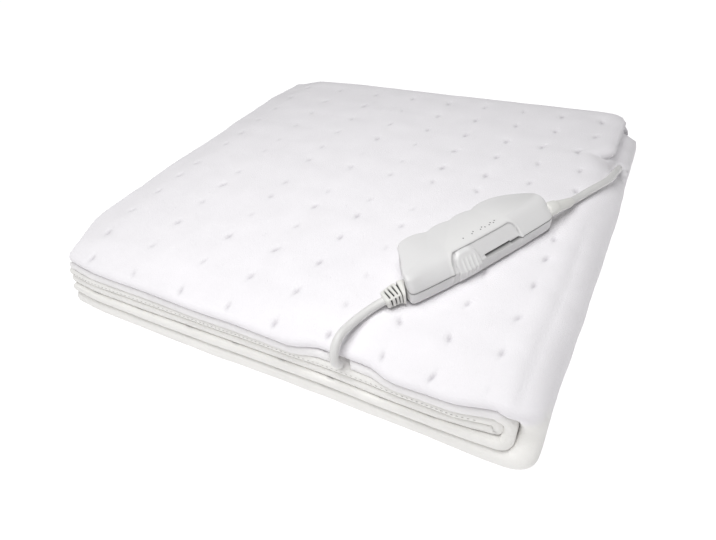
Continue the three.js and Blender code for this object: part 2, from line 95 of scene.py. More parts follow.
# %% Routes that the leads follow, in millimetres
LEAD_DIAMETER = 6.2
FEED_ROUTE = [
    (83.2, -138.2, 66.8), (81.0, -140.9, 66.1), (78.5, -145.0, 65.5), (76.0, -150.2, 65.2),
    (73.8, -155.8, 65.1), (71.9, -161.6, 65.1), (70.5, -167.2, 65.1), (69.6, -172.4, 65.5),
    (69.2, -177.3, 64.9), (69.1, -181.4, 62.7), (69.1, -184.4, 59.2), (69.1, -185.9, 54.8),
    (69.1, -185.9, 50.3), (69.1, -184.5, 46.0), (69.1, -181.9, 42.6),
]
MAINS_ROUTE = [
    (173.6, 12.4, 67.9), (175.6, 18.0, 66.6), (178.7, 25.6, 65.3), (182.4, 33.8, 64.7),
    (186.4, 42.3, 64.0), (190.4, 51.2, 62.9), (193.9, 60.4, 61.4), (196.5, 70.0, 59.9),
    (198.0, 80.0, 58.2), (198.9, 90.0, 54.9), (199.4, 100.0, 49.5), (199.5, 111.0, 43.1),
    (199.0, 123.0, 37.5), (197.6, 136.0, 33.2), (195.4, 149.0, 30.3), (192.8, 162.0, 28.3),
    (190.1, 175.0, 26.6), (187.3, 188.0, 24.2), (184.2, 200.0, 20.3), (181.4, 209.5, 16.2),
    (178.6, 217.0, 12.3), (176.8, 223.5, 9.0),
]
TAIL_ROUTE = [
    (110.6, 273.2, 10.9), (103.0, 272.1, 10.8), (96.0, 268.8, 10.4), (90.2, 263.7, 9.7),
    (86.2, 257.1, 8.9), (82.2, 250.5, 8.1), (76.4, 245.4, 7.4), (69.5, 242.1, 7.05),
    (62.6, 241.0, 6.95), (58.8, 241.0, 6.95),
]
print("route points:", len(FEED_ROUTE), len(MAINS_ROUTE), len(TAIL_ROUTE))

# %% Wind the spare length into a coil
COIL_MIDDLE = (133.7, 236.0)
TURN_PITCH = 6.25
LOW_LAYER, HIGH_LAYER = 4.3, 10.5
OUTER_TURN, TOP_START, TOP_END = 40.3, 26.3, 37.2
COIL_ENTRY = [(-2, 42.6, 6.2), (14, 41.0, 4.8)]
COIL_STARTS, COIL_LEAVES, LEAVING_PLACE = 30, 90, (122.0, 273.2, 10.7)
LOW_DEGREES, CLIMB_DEGREES, TOP_DEGREES = 1080, 150, 630
STEP_DEGREES, CLIMB_STEP = 20, 15
INWARD_FROM, LIFTED_BY = 45, 110


def on_coil(degrees, radius, height):
    angle = math.radians(degrees)
    across, along = radius * math.cos(angle), radius * math.sin(angle)
    return COIL_MIDDLE[0] + across, COIL_MIDDLE[1] + along, height


def smooth(low, high, value):
    """0 at low and 1 at high, with a soft start and a soft end."""
    share = min(max((value - low) / (high - low), 0.0), 1.0)
    return share * share * (3 - 2 * share)


def mix(first, second, share):
    return first + (second - first) * share


def coil_points():
    """Three turns inwards on the floor, a climb, and nearly two turns outwards on top of them."""
    points = [on_coil(*place) for place in COIL_ENTRY]
    for turned in range(0, LOW_DEGREES, STEP_DEGREES):
        points.append(on_coil(COIL_STARTS + turned, OUTER_TURN - TURN_PITCH * turned / 360, LOW_LAYER))
    inner = OUTER_TURN - TURN_PITCH * LOW_DEGREES / 360
    for turned in range(0, CLIMB_DEGREES, CLIMB_STEP):
        lift = math.sin(math.radians(min(turned / LIFTED_BY, 1) * 90))
        radius = mix(inner, TOP_START, smooth(INWARD_FROM, CLIMB_DEGREES, turned))
        points.append(on_coil(COIL_STARTS + turned, radius, mix(LOW_LAYER, HIGH_LAYER, lift)))
    for turned in range(0, TOP_DEGREES, STEP_DEGREES):
        radius = mix(TOP_START, TOP_END, turned / TOP_DEGREES)
        points.append(on_coil(COIL_STARTS + CLIMB_DEGREES + turned, radius, HIGH_LAYER))
    return points + [on_coil(COIL_LEAVES, TOP_END, HIGH_LAYER), LEAVING_PLACE]


whole_mains_route = MAINS_ROUTE + coil_points() + TAIL_ROUTE
print("mains lead points:", len(whole_mains_route))

# %% Make each lead one curve
def add_piece(name, data, body, slot_name, *nodes):
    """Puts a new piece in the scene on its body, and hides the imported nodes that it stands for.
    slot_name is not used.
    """
    piece = put_in_scene(name, data)
    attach(piece, body)
    if nodes:
        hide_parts(*nodes)
    print(name, "rides on", body)
    return piece


def lead_curve(name, route):
    data = bpy.data.curves.new(name, "CURVE")
    data.dimensions = "3D"
    data.bevel_depth = 1.0
    data.bevel_resolution = 4
    data.resolution_u = 5
    data.use_fill_caps = True
    spline = data.splines.new("BEZIER")
    spline.bezier_points.add(len(route) - 1)
    places = [Vector(place) * MM for place in route]
    for i, (knot, place) in enumerate(zip(spline.bezier_points, places)):
        # a sixth of the way from the last point to the next one gives an even, smooth bend
        reach = (places[min(i + 1, len(places) - 1)] - places[max(i - 1, 0)]) / 6
        knot.co = place
        knot.radius = LEAD_DIAMETER / 2 * MM
        knot.handle_left, knot.handle_right = place - reach, place + reach
    return data


feed_lead = add_piece("feed_lead", lead_curve("feed_lead", FEED_ROUTE), "base", "sheath", "feed_cord")
mains_lead = add_piece("mains_lead", lead_curve("mains_lead", whole_mains_route), "base", "sheath",
                       "mains_cord", "mains_coil", "mains_tail")

# %% [markdown]
# ## The cloth
#
# The cloth starts as a flat grid, cut out as the real one is. Two rules then fold it. The first
# lays its length in four layers, back and forth. The second carries those four layers round the
# fold at the right. The grid's lines crowd together at every welded spot, so that a spot can be
# pressed in sharply without a dense mesh everywhere. The thickness comes last, from a Solidify
# modifier that is told to be thinner at the spots and to round off along the cut ends.

# %% Sizes of the folded cloth, in millimetres
THICK, GAP = 7.0, 0.8
PITCH = THICK + GAP
FRONT, BACK, LEFT, FOLD_X = -183.0, 190.0, -186.9, 178.6
MIDDLE_Z = GAP / 2 + 4 * THICK + 3 * GAP
TOP_Z = 2 * MIDDLE_Z
BACK_BEND = BACK - (MIDDLE_Z - GAP / 2) / 2
ROLL_BEND = FRONT + PITCH / 2 + THICK / 2
FOLD_SQUARENESS, BACK_SQUARENESS = 0.45, 0.4
UPPER_TURNS = 13
FOLD_TURNS = [-90, -74, -60, -50, -41, -33, -25, -18, -12, -7, -3.5, -1.3, 0]
FOLD_TURNS += [90 * i / UPPER_TURNS for i in range(1, UPPER_TURNS + 1)]
HEM_STEPS = (0.0, 0.4, 0.9, 1.8)


def layer_height(layer):
    return GAP / 2 + THICK / 2 + layer * PITCH


print("folded height, mm:", round(TOP_Z, 1), "layers' middles:", [layer_height(i) for i in range(4)])

# %% Where the welded spots are
SPOT_COLUMNS = [-160, -116.7, -71.4, -26.2, 16.1, 57, 97.9, 136.3, 173.4]
SPOT_ROWS = [-173.5, -146, -113.7, -81, -51.2, -27.2, 15.2, 40.2, 71.9, 102.7, 134, 164]
CLOSEST_LINES = 0.7


def crowded(low, high, spots, offsets, spacing):
    """Grid lines from low to high: close together at the spots, spacing apart elsewhere."""
    lines = {low, high}
    for spot in spots:
        lines.update(spot + side * offset for offset in offsets for side in (-1, 1))
    lines = sorted(line for line in lines if low <= line <= high)
    filled = []
    for before, after in zip(lines, lines[1:]):
        count = max(1, round((after - before) / spacing))
        filled += [mix(before, after, i / count) for i in range(count)]
    kept = [filled[0]]
    for line in filled[1:]:
        if line - kept[-1] > CLOSEST_LINES:
            kept.append(line)
    return kept + [high]


print("welded spots on a panel:", len(SPOT_COLUMNS) * len(SPOT_ROWS))

# %% Lines across the fold: along the bottom, round the bend, back over the top
CLOSE_BY, WIDE_ACROSS, WIDE_ALONG = 6.5, 18, 20
FINE_ACROSS, FINE_ALONG, COARSE_ACROSS, COARSE_ALONG = (0, 1.3, 2.9, 6), (0, 2, 4.2, 8), (0, 6), (0, 7)


def fold_stops():
    start = LEFT + HEM_STEPS[-1]
    hem = [LEFT + step for step in HEM_STEPS[:-1]]
    fine = hem + crowded(start, FOLD_X, SPOT_COLUMNS, FINE_ACROSS, CLOSE_BY)
    coarse = hem + crowded(start, FOLD_X, SPOT_COLUMNS, COARSE_ACROSS, WIDE_ACROSS)
    stops = [(x, -90.0) for x in coarse[:-1]]
    stops += [(FOLD_X, degrees) for degrees in FOLD_TURNS]
    stops += [(x, 90.0) for x in reversed(fine[:-1])]
    return stops


stops = fold_stops()
print("grid lines across:", len(stops))

# %% Lines along the length: four layers and the bends between them
BACK_BEND_DEGREES, INNER_BEND_DEGREES = range(-78, 90, 12), range(60, -90, -30)
ROLL_DEGREES = range(105, 270, 15)


def squared(value, power):
    """A sine or cosine pushed towards a square corner, where the power is under 1."""
    return math.copysign(abs(value) ** power, value)


def bend_lines(middle_y, low_layer, high_layer, turns, power):
    """Places round one bend. Where the power is under 1, the upper half of the bend is squarer."""
    middle = (layer_height(low_layer) + layer_height(high_layer)) / 2
    radius = (layer_height(high_layer) - layer_height(low_layer)) / 2
    lines = []
    for degrees in turns:
        squareness = power if degrees > 0 else 1
        lines.append((middle_y + radius * squared(math.cos(math.radians(degrees)), squareness),
                      middle + radius * squared(math.sin(math.radians(degrees)), squareness)))
    return lines


def layer_spine():
    """Each entry is a place: y, and the height above the middle of the fold."""
    fine = crowded(ROLL_BEND, BACK_BEND, SPOT_ROWS, FINE_ALONG, CLOSE_BY)
    coarse = crowded(ROLL_BEND, BACK_BEND, SPOT_ROWS, COARSE_ALONG, WIDE_ALONG)
    hemmed = [FRONT + step for step in HEM_STEPS] + coarse
    spine = [(y, layer_height(0)) for y in hemmed]
    spine += bend_lines(BACK_BEND, 0, 3, BACK_BEND_DEGREES, BACK_SQUARENESS)
    spine += [(y, layer_height(3)) for y in reversed(fine)]
    spine += bend_lines(ROLL_BEND, 2, 3, ROLL_DEGREES, 1)
    spine += [(y, layer_height(2)) for y in coarse]
    spine += bend_lines(BACK_BEND, 1, 2, INNER_BEND_DEGREES, 1)
    spine += [(y, layer_height(1)) for y in reversed(hemmed)]
    return spine


spine = layer_spine()
print("grid lines along:", len(spine), "faces:", (len(stops) - 1) * (len(spine) - 1))

# %% [markdown]
# ## Soft edges and hollows
#
# Real folds are never straight: the lower layers reach further than the upper ones, corners draw
# in, and the cloth gives way to the leads. Cloth simulation could give that, but eight thin layers
# that lie on each other tangle easily. Here short tables say how far each side stands out, and
# smooth noise adds hollows and ripples. Neighbouring layers are moved much alike, so they keep
# their order, but they are not kept apart: where the cloth is plump they press into each other.

# %% How far the soft edges stand out of their straight lines
LEFT_EDGE_Y = [-183, -125, -50, 50, 130, 190]
LEFT_EDGE = {"top": [15, 32, 28, 19, 13, 2], "bottom": [23, 31, 26, 18, 12, 0]}
RIGHT_EDGE = [(-190, -6.5), (-165, -7.2), (-135, -6.2), (-100, -4.4), (-60, -3), (10, -1.5),
              (65, 0)]
FRONT_EDGE_X = [-209, -150, -60, 30, 52, 88, 110, 150, 186, 209]
FRONT_EDGE = {
    "top": [3, -3.4, -3.4, -3.4, 2.5, 2.5, -3, -2.4, 4, 10],
    "middle": [0, -4, -1.5, 0, 0, 0, 0, 0, 4, 10],
    "bottom": [-6, -10, -8.5, -6.2, -6, -5.5, -5, -5, -5, -3],
}
BACK_EDGE = [(-209, -22), (-186, -12), (-150, -3), (-100, 0), (160, 0), (190, -3), (209, -14)]
LEFT_REACH, RIGHT_REACH, BACK_REACH = -50, 100, 100
MOUTH = {"x": 69.2, "z": 44.5, "half_width": 8.5, "half_height": 9, "depth": 11, "reach": 60}
CREASE = {"from": 58, "full": 76, "half_height": 17, "clearance": 2, "reach": 75,
          "closes": (106, 124), "slot_z": 46.5, "slot_depth": 10, "slot_half": 9}


def read_table(rows, value):
    """A table of (place, amount), read with a smooth line between its rows."""
    if value <= rows[0][0]:
        return rows[0][1]
    for before, after in zip(rows, rows[1:]):
        if value < after[0]:
            return mix(before[1], after[1], smooth(before[0], after[0], value))
    return rows[-1][1]


def read_edges(places, edges, value):
    return {level: read_table(list(zip(places, row)), value) for level, row in edges.items()}


print("widest stand-out of the left side, mm:", max(LEFT_EDGE["top"] + LEFT_EDGE["bottom"]))


# %% How the layers give way to the two leads
OUTER_LAYER = (20, 25)


def hump(value):
    """1 in the middle, 0 from one half-width away."""
    return 1 - smooth(0.5, 1, abs(value))


def lead_in_crease(y):
    for before, after in zip(MAINS_ROUTE, MAINS_ROUTE[1:]):
        if after[1] > y:
            break
    share = (y - before[1]) / (after[1] - before[1])
    return mix(before[0], after[0], share), mix(before[2], after[2], share)


def crease_shift(y, z, height):
    """The inner layers give way to the lead. The outer layer closes over it, down to a narrow slot."""
    if y < CREASE["from"]:
        return 0.0
    lead_x, lead_z = lead_in_crease(y)
    across = lead_x - FOLD_X
    away = math.hypot(across, lead_z - MIDDLE_Z)
    push = max(MIDDLE_Z + LEAD_DIAMETER / 2 + CREASE["clearance"] - away, 0) * away / across
    closed = smooth(*CREASE["closes"], y) * smooth(*OUTER_LAYER, height)
    middle = mix(lead_z, CREASE["slot_z"], closed)
    depth = mix(push, CREASE["slot_depth"], closed) * smooth(CREASE["from"], CREASE["full"], y)
    return depth * hump((z - middle) / mix(CREASE["half_height"], CREASE["slot_half"], closed))


print("crease in the inner layers, mm:", round(crease_shift(100, lead_in_crease(100)[1], 0), 1))

# %% Soft hollows and ripples in the top panel, in millimetres
HOLLOW_DEPTH, PILLOW_DEPTH, RIPPLE_DEPTH = 1.3, 0.35, 0.5
RIPPLES_FROM, RIPPLES_TO = (-90, 60), (-60, 110)


def waves(x, y, length_x, length_y, seed):
    return noise.noise(Vector((x / length_x, y / length_y, seed)))


def sink(x, y):
    """How far the soft top gives way: wide hollows, and fine ripples towards the back left."""
    hollow = 0.5 + 0.5 * waves(x, y, 46, 34, 0)
    where = smooth(*RIPPLES_FROM, y) * (1 - smooth(*RIPPLES_TO, x))
    ripple = waves(x, y, 45, 17, 7) * where
    return HOLLOW_DEPTH * hollow + PILLOW_DEPTH * waves(x, y, 21, 17, 3) + RIPPLE_DEPTH * ripple


LOBE_FLOOR, LOBE_DROP, LOBE_REACH, LEFT_LOBE_SHARE = TOP_Z - 2 * PITCH, 0.4, 34, 0.68


def soft_end(x, y):
    """1 where the top lobe rounds off at the front and at the left, and 0 over the rest of the top."""
    return max(1 - smooth(FRONT, FRONT + LOBE_REACH, y),
               LEFT_LOBE_SHARE * (1 - smooth(LEFT, LEFT + LOBE_REACH, x)))


print("hollow in the middle of the top, mm:", round(sink(0, 0), 2))


# %% Lay one place of the cloth
LOWER_LEVELS, UPPER_LEVELS, LEFT_LEVELS, TOP_LEVELS = (0.2, 0.5), (0.5, 0.8), (0.5, 0.85), (0.5, 0.9)
PLEAT_DEGREES, PLEAT_SPREAD, PLEAT_DEPTH, PLEAT_ENDS, PLEAT_LAYERS = 62, 9, 1.6, (-30, 30), (0, 20)
WANDER_ACROSS, WANDER_UP, WANDER_TURN, LEFT_WANDER, LEFT_WANDER_REACH = 60, 25, 200, 0.3, 40


def settle(x, y, z, height):
    """Moves one place of the evenly folded cloth, in millimetres, to where the soft cloth lies."""
    level = z / TOP_Z
    edge = read_edges(FRONT_EDGE_X, FRONT_EDGE, x)
    lower = mix(edge["bottom"], edge["middle"], smooth(*LOWER_LEVELS, level))
    front = mix(lower, edge["top"], smooth(*UPPER_LEVELS, level))
    mouth = (MOUTH["depth"] * hump((x - MOUTH["x"]) / MOUTH["half_width"])
             * hump((z - MOUTH["z"]) / MOUTH["half_height"]))
    side = read_edges(LEFT_EDGE_Y, LEFT_EDGE, y)
    left = mix(side["bottom"], side["top"], smooth(*LEFT_LEVELS, level))
    shift_x = (-left * (1 - smooth(LEFT, LEFT_REACH, x))
               + read_table(RIGHT_EDGE, y) * smooth(RIGHT_REACH, FOLD_X, x)
               - crease_shift(y, z, height) * smooth(FOLD_X - CREASE["reach"], FOLD_X, x))
    shift_y = ((front + mouth) * (1 - smooth(FRONT, FRONT + MOUTH["reach"], y))
               + read_table(BACK_EDGE, x) * smooth(BACK_REACH, BACK, y))
    lobe = LOBE_DROP * soft_end(x, y) * max(z - LOBE_FLOOR, 0)
    hollow = sink(x, y) * smooth(*TOP_LEVELS, level)
    return Vector((x + shift_x, y + shift_y, z - lobe - hollow))


def lay_cloth(x, degrees, y, height):
    """The place on the folded cloth, in metres, of one place on its grid."""
    turn = math.radians(degrees)
    power = FOLD_SQUARENESS if degrees < 0 else 1
    pleat = math.exp(-((degrees - PLEAT_DEGREES) / PLEAT_SPREAD) ** 2)
    pleat *= (1 - smooth(*PLEAT_ENDS, y)) * smooth(*PLEAT_LAYERS, height)
    reach = height - PLEAT_DEPTH * pleat
    place = settle(x + reach * squared(math.cos(turn), power), y,
                   MIDDLE_Z + reach * squared(math.sin(turn), power), height)
    wander = noise.noise_vector(Vector((
        x / WANDER_ACROSS, y / WANDER_ACROSS, height / WANDER_UP + degrees / WANDER_TURN)))
    wander *= mix(LEFT_WANDER, 1, smooth(LEFT, LEFT + LEFT_WANDER_REACH, x))
    return (place + Vector((wander.x, wander.y, 0))) * MM


front_corner = lay_cloth(FOLD_X, 0, FRONT, layer_height(3))
print("front right corner, mm:", [round(c / MM, 1) for c in front_corner])

# %% [markdown]
# ## The welded spots
#
# The pad's two faces are pressed together at small spots, and the cloth swells between them. A bump
# in the material would not show at the edge of the pad, so each spot is a real dimple: the sheet is
# thinner there. No two spots are alike, so seeded noise at a spot's place sets its strength and slant.

# %% The welded spots: short dashes along y
DASH_HALF_WIDTH, DASH_HALF_LENGTH, DIMPLE_WIDTH, DIMPLE_LENGTH = 1.35, 2.9, 8, 9
SPOT_STRENGTH, SPOT_VARIES, SPOT_MOST, SPOT_SLANT = 0.95, 1.1, 1.25, 0.8
FAINT_BACK, FAINT_LEFT, FAINT_STRENGTH = (-120, 40), (-90, 90), 0.55
CHANCE_ACROSS, CHANCE_ALONG, CHANCE_UP = 0.731, 0.517, 3.3


def spot_at(x, y):
    """How far a place is into its nearest spot, and the wide dimple round it. Both run from 0 to 1."""
    column = min(SPOT_COLUMNS, key=lambda c: abs(c - x))
    row = min(SPOT_ROWS, key=lambda r: abs(r - y))
    chance = noise.noise_vector(Vector((column * CHANCE_ACROSS, row * CHANCE_ALONG, CHANCE_UP)))
    faint = smooth(*FAINT_BACK, row) * (1 - smooth(*FAINT_LEFT, column))
    strength = (SPOT_STRENGTH + SPOT_VARIES * chance.x) * mix(1, FAINT_STRENGTH, faint)
    across = x - column + (y - row) * SPOT_SLANT * chance.y
    dash = math.exp(-(across / DASH_HALF_WIDTH) ** 2 - ((y - row) / DASH_HALF_LENGTH) ** 2)
    dimple = math.exp(-(across / DIMPLE_WIDTH) ** 2 - ((y - row) / DIMPLE_LENGTH) ** 2)
    return dash * min(strength, SPOT_MOST), dimple * strength


first_spot = spot_at(SPOT_COLUMNS[0], SPOT_ROWS[0])
print("front left spot, dash and dimple:", [round(share, 2) for share in first_spot])

# %% How thick the cloth is from place to place
BASE_THICK = 9.0
OPEN_SHARE, CLOSED_SHARE, CORNER_SHARE = THICK / BASE_THICK, 7.95 / BASE_THICK, 1.0
LEAST_END, LEAST_SIDE_END, DASH_THINS, DIMPLE_THINS, LOBE_THINS = 0.5, 0.75, 0.5, 0.14, 0.22
PLUMP_EDGE, CORNER_DEGREES, CORNER_SPREAD = (15, 60), -30, 22
INNER_LAYERS, LOBE_LAYERS, LOBE_DEGREES = (21, 25), (14, 19), 80
HEM_LINES, NO_END = 8, 99


def rounded_end(distance):
    """Share of the thickness at a distance from a cut end, as a half round end has."""
    short = 1 - min(distance / HEM_STEPS[-1], 1)
    return max(math.sqrt(1 - short * short), LEAST_END)


def thickness_share(x, degrees, y, height, from_end):
    """Plump along the front and left edges, fullest round the front right corner, thin at the hems."""
    near, far = PLUMP_EDGE
    plump = max(1 - smooth(FRONT + near, FRONT + far, y), 1 - smooth(LEFT + near, LEFT + far, x))
    in_corner = (math.exp(-((degrees - CORNER_DEGREES) / CORNER_SPREAD) ** 2)
                 * plump * (1 - smooth(*INNER_LAYERS, height)))
    full = mix(mix(OPEN_SHARE, CLOSED_SHARE, plump), CORNER_SHARE, in_corner)
    full *= 1 - LOBE_THINS * soft_end(x, y) * (degrees > LOBE_DEGREES) * smooth(*LOBE_LAYERS, height)
    side_end = mix(LEAST_SIDE_END, 1, rounded_end(x - LEFT))
    return full * min(rounded_end(from_end), side_end)


print("cloth at its cut end, mm:", round(BASE_THICK * thickness_share(0, 90, FRONT, 0, 0), 1))

# %% Cut the flat cloth and fold it
PANEL_FRONT, PANEL_BACK, HEM_LEVELS, HEM_WIDTH = 7, 4, (0.62, 0.74), (2, 24)


def made_mesh(name, shape):
    """A smooth mesh from a bmesh whose faces already point outwards."""
    for face in shape.faces:
        face.smooth = True
    mesh = bpy.data.meshes.new(name)
    shape.to_mesh(mesh)
    shape.free()
    print(name, "faces:", len(mesh.polygons))
    return mesh


def fold_cloth():
    grid = bmesh.new()
    wide, long_ = len(stops) - 1, len(spine) - 1
    bmesh.ops.create_grid(grid, x_segments=wide, y_segments=long_, size=0.5)
    thin = grid.verts.layers.deform.verify()
    weld_painted_shade = grid.verts.layers.float.new("weld_painted_shade")
    hem = grid.verts.layers.float.new("hem")
    for vert in grid.verts:
        i, j = round((vert.co.x + 0.5) * wide), round((vert.co.y + 0.5) * long_)
        x, degrees = stops[i]
        y, height = spine[j]
        on_panel = (smooth(ROLL_BEND - PANEL_FRONT, ROLL_BEND, y)
                    * (1 - smooth(BACK_BEND - PANEL_BACK, BACK_BEND + PANEL_BACK, y)))
        dash, dimple = (share * on_panel for share in spot_at(x, y))
        from_end = y - FRONT if min(j, long_ - j) < HEM_LINES else NO_END
        share = thickness_share(x, degrees, y, height, from_end)
        vert.co = lay_cloth(x, degrees, y, height)
        vert[thin][0] = share * (1 - DASH_THINS * dash - DIMPLE_THINS * dimple)
        # the weld share darkens the fleece's colour at each spot: painted shade in the spot's dent
        vert[weld_painted_shade] = dash
        low = 1 - smooth(*HEM_LEVELS, vert.co.z / MM / TOP_Z)
        vert[hem] = low * (1 - smooth(*HEM_WIDTH, y - FRONT))
    bmesh.ops.recalc_face_normals(grid, faces=grid.faces)
    return made_mesh("pad", grid)


pad = add_piece("pad", fold_cloth(), "base", "fleece", "pad_cloth")
pad.vertex_groups.new(name="thickness")
thicken = pad.modifiers.new("thicken", "SOLIDIFY")
thicken.thickness = BASE_THICK * MM
thicken.offset = 0
thicken.vertex_group = "thickness"
thicken.use_even_offset = False

# %% [markdown]
# ## The hem's stitches
#
# A row of stitches shows on the hem in the middle of the front edge. A stitch is a short, slim bead
# of thread. It is repeated many times, so it has only a few faces, and each one is laid by the same
# rule as the cloth, so that the row follows the hem.

# %% Sew along the middle hem
STITCH_PITCH, STITCH_LENGTH, STITCH_THICK, STITCH_OUT, STITCH_FROM = 3.8, 2.1, 0.62, 0.12, 6


def sew_hem():
    thread = bmesh.new()
    shape = Matrix.Diagonal((STITCH_LENGTH / 2, STITCH_THICK / 2, STITCH_THICK / 2, 1))
    for i in range(int((FOLD_X - LEFT - 2 * STITCH_FROM) / STITCH_PITCH)):
        x = LEFT + STITCH_FROM + i * STITCH_PITCH
        place, ahead = (lay_cloth(at, 90, FRONT, layer_height(0)) for at in (x, x + 1))
        place.y -= STITCH_OUT * MM
        turn = (ahead - place).to_track_quat("X", "Z").to_matrix().to_4x4()
        bmesh.ops.create_icosphere(thread, subdivisions=1, radius=MM,
                                   matrix=Matrix.Translation(place) @ turn @ shape)
    return made_mesh("hem_stitches", thread)


hem_stitches = add_piece("hem_stitches", sew_hem(), "base", "fleece")

# %% [markdown]
# ## The control's case
#
# The control is a hand-sized moulding, made of two shells that meet at a thin seam. One long side
# is straight and slopes back softly; the other has three finger dips. The case is one grid, carried
# round the outline and up the side, so that every station can be set by a rule: how far it leans
# back, where the seam cuts in, and where the slider's recess is pressed in with a raised rim. The
# places are worked out in the control's own frame: u along it, v away from its straight side, and w
# up.

# %% The control's own frame
CONTROL_CORNER = Vector((103.2, -132.0, TOP_Z))
ALONG = Vector(frame["joints"][0]["axis"]).normalized()
ACROSS = Vector((-ALONG.y, ALONG.x, 0))


def on_control(u, v, w):
    """A place in the row frame, in metres, from a place on the control in millimetres."""
    return (CONTROL_CORNER + ALONG * u + ACROSS * v + Vector((0, 0, w))) * MM


print("the control points along", [round(c, 3) for c in ALONG])

# %% The outline, from above
NEAR_SIDE = (3.6, 125.4)
NEAR_FINE = (29.0, 101.0)
RIGHT_END = [(128.6, 2.6), (131.2, 4.4), (132.4, 8.0), (132.2, 12.0), (131.0, 15.4)]
FAR_SIDE = [
    (127.6, 20.0), (122.0, 26.3), (115.0, 32.3), (107.4, 37.4), (100.2, 40.1), (92.4, 41.0),
    (85.6, 39.9), (80.4, 37.7), (76.2, 39.2), (70.2, 40.3), (64.3, 39.6), (60.2, 38.0), (55.8, 39.6),
    (50.0, 40.3), (44.2, 39.5), (40.1, 37.9), (36.0, 39.8), (31.0, 42.2), (25.0, 43.0), (18.9, 41.8),
    (15.0, 39.0), (12.8, 35.4),
]
LEFT_END = [(6.6, 22.2), (1.2, 12.2), (-0.5, 7.2), (-0.6, 3.6), (1.0, 1.7)]
FINE_STATION, COARSE_STATION, BEND_STEPS = 0.75, 2.4, 4
BOW_MIDDLE, BOW_OUT, BOW_FALL, BOW_LEFT, BOW_RIGHT = 50, 1, 2.6, 55, 75


def bow(u):
    """The straight side stands out a little in its middle."""
    reach = BOW_RIGHT if u > BOW_MIDDLE else BOW_LEFT
    return -BOW_OUT + BOW_FALL * ((u - BOW_MIDDLE) / reach) ** 2


def through(points, steps):
    """A smooth line through the points, with the given number of steps between two of them."""
    line = []
    for i in range(1, len(points) - 2):
        p, q, r, s = (Vector(points[i + k]) for k in (-1, 0, 1, 2))
        for k in range(steps):
            t = k / steps
            line.append(((-p + 3 * q - 3 * r + s) * t ** 3 + (2 * p - 5 * q + 4 * r - s) * t * t
                         + (r - p) * t + 2 * q) / 2)
    return line


def case_outline():
    near, u = [], NEAR_SIDE[0]
    while u < NEAR_SIDE[1]:
        near.append(Vector((u, bow(u))))
        u += FINE_STATION if NEAR_FINE[0] < u < NEAR_FINE[1] else COARSE_STATION
    bends = [near[-2], near[-1]] + RIGHT_END + FAR_SIDE + LEFT_END + [near[0], near[1]]
    return near[:-1] + through(bends, BEND_STEPS)


outline = case_outline()
print("outline stations:", len(outline))

# %% The heights of the case, and its two slopes
SEAM = 10.9
LEAN = [(11, 0), (12, 0.2), (13, 0.7), (14.5, 1.8), (16, 3.1), (17.5, 4.6), (19, 6.4), (20.2, 8.2),
        (21.1, 10), (21.8, 12), (22.25, 14.2), (22.5, 17)]
LEAN_RIGHT = [(11, 0), (12, 0.4), (13, 1.3), (15, 3.6), (18, 7.2), (20.6, 10.4), (21.6, 11.8),
              (22.2, 13.2), (22.5, 15)]
INSET = [(0.3, 2.2), (1.2, 0.9), (3, 0), (20, 0), (20.8, 0.25), (21.5, 0.7), (22, 1.2), (22.3, 1.7),
         (22.5, 2.4)]
HEIGHTS = [0.3, 0.7, 1.2, 2.0, 2.6, 3.2] + [4 + 0.9 * i for i in range(7)]
HEIGHTS += [SEAM + step for step in (-1.05, -0.9, -0.3, 0, 0.3, 0.9, 1.05)]
HEIGHTS += [12.2 + 0.7 * i for i in range(11)]
HEIGHTS += [19.7, 20.2, 20.6, 21, 21.4, 21.8, 22.05, 22.3, 22.5]


def straight(rows, value):
    """A table read with straight lines between its rows."""
    for before, after in zip(rows, rows[1:]):
        if value <= after[0]:
            share = min(max((value - before[0]) / (after[0] - before[0]), 0), 1)
            return mix(before[1], after[1], share)
    return rows[-1][1]


print("heights:", len(HEIGHTS), "from", HEIGHTS[0], "to", HEIGHTS[-1])

# %% The recess that the slider runs in
RECESS = {"left": 33.2, "right": 96.4, "low": 2.6, "high": 21.3, "corner": 6, "left_slope": 0.1}
RIM = {"height": 0.5, "middle": 1.1, "from": (3, 9)}
WALL, WALL_SHADE, SHADE_PLACE, SHADE_FROM = (-0.2, 0.8), 0.4, 0.5, (11.5, 15)
LOW_FLOOR, HIGH_FLOOR, FLOOR_SLOPE = 0.5, 2.2, 0.9
SLOT = {"left": 63.4, "right": 86.4, "deep": 5.0, "half_height": 0.95}


def inside_arch(side, top, bottom, corner):
    """The distance in from an edge whose two upper corners are round. It is negative outside."""
    if side < corner and top < corner:
        return corner - math.hypot(corner - side, corner - top)
    return min(side, top, bottom)


def inside_recess(u, w):
    side = min(u - RECESS["left"] - RECESS["left_slope"] * w, RECESS["right"] - u)
    return inside_arch(side, RECESS["high"] - w, w - RECESS["low"], RECESS["corner"])


def recess_floor(w):
    return LOW_FLOOR if w < SEAM else HIGH_FLOOR + FLOOR_SLOPE * (w - SEAM)


print("recess, mm:", round(RECESS["right"] - RECESS["left"], 1), "long, its floor", HIGH_FLOOR, "deep")

# %% Shape the case
CASE_WIDTH, NEAR_DEPTH, SEAM_HALF, SEAM_DEPTH = 44, 4, 0.5, 0.6
SOFT_LEFT, SOFT_RIGHT, SOFT_INSET = (2, 16), (112, 125), 0.35
LEAN_CHANGES, LEFT_LEAN, LEFT_LEAN_ENDS = (84, 97), 0.45, (-4, 24)
SEAM_OPENS, SEAM_RETURNS = (0, 1), (86, 84)


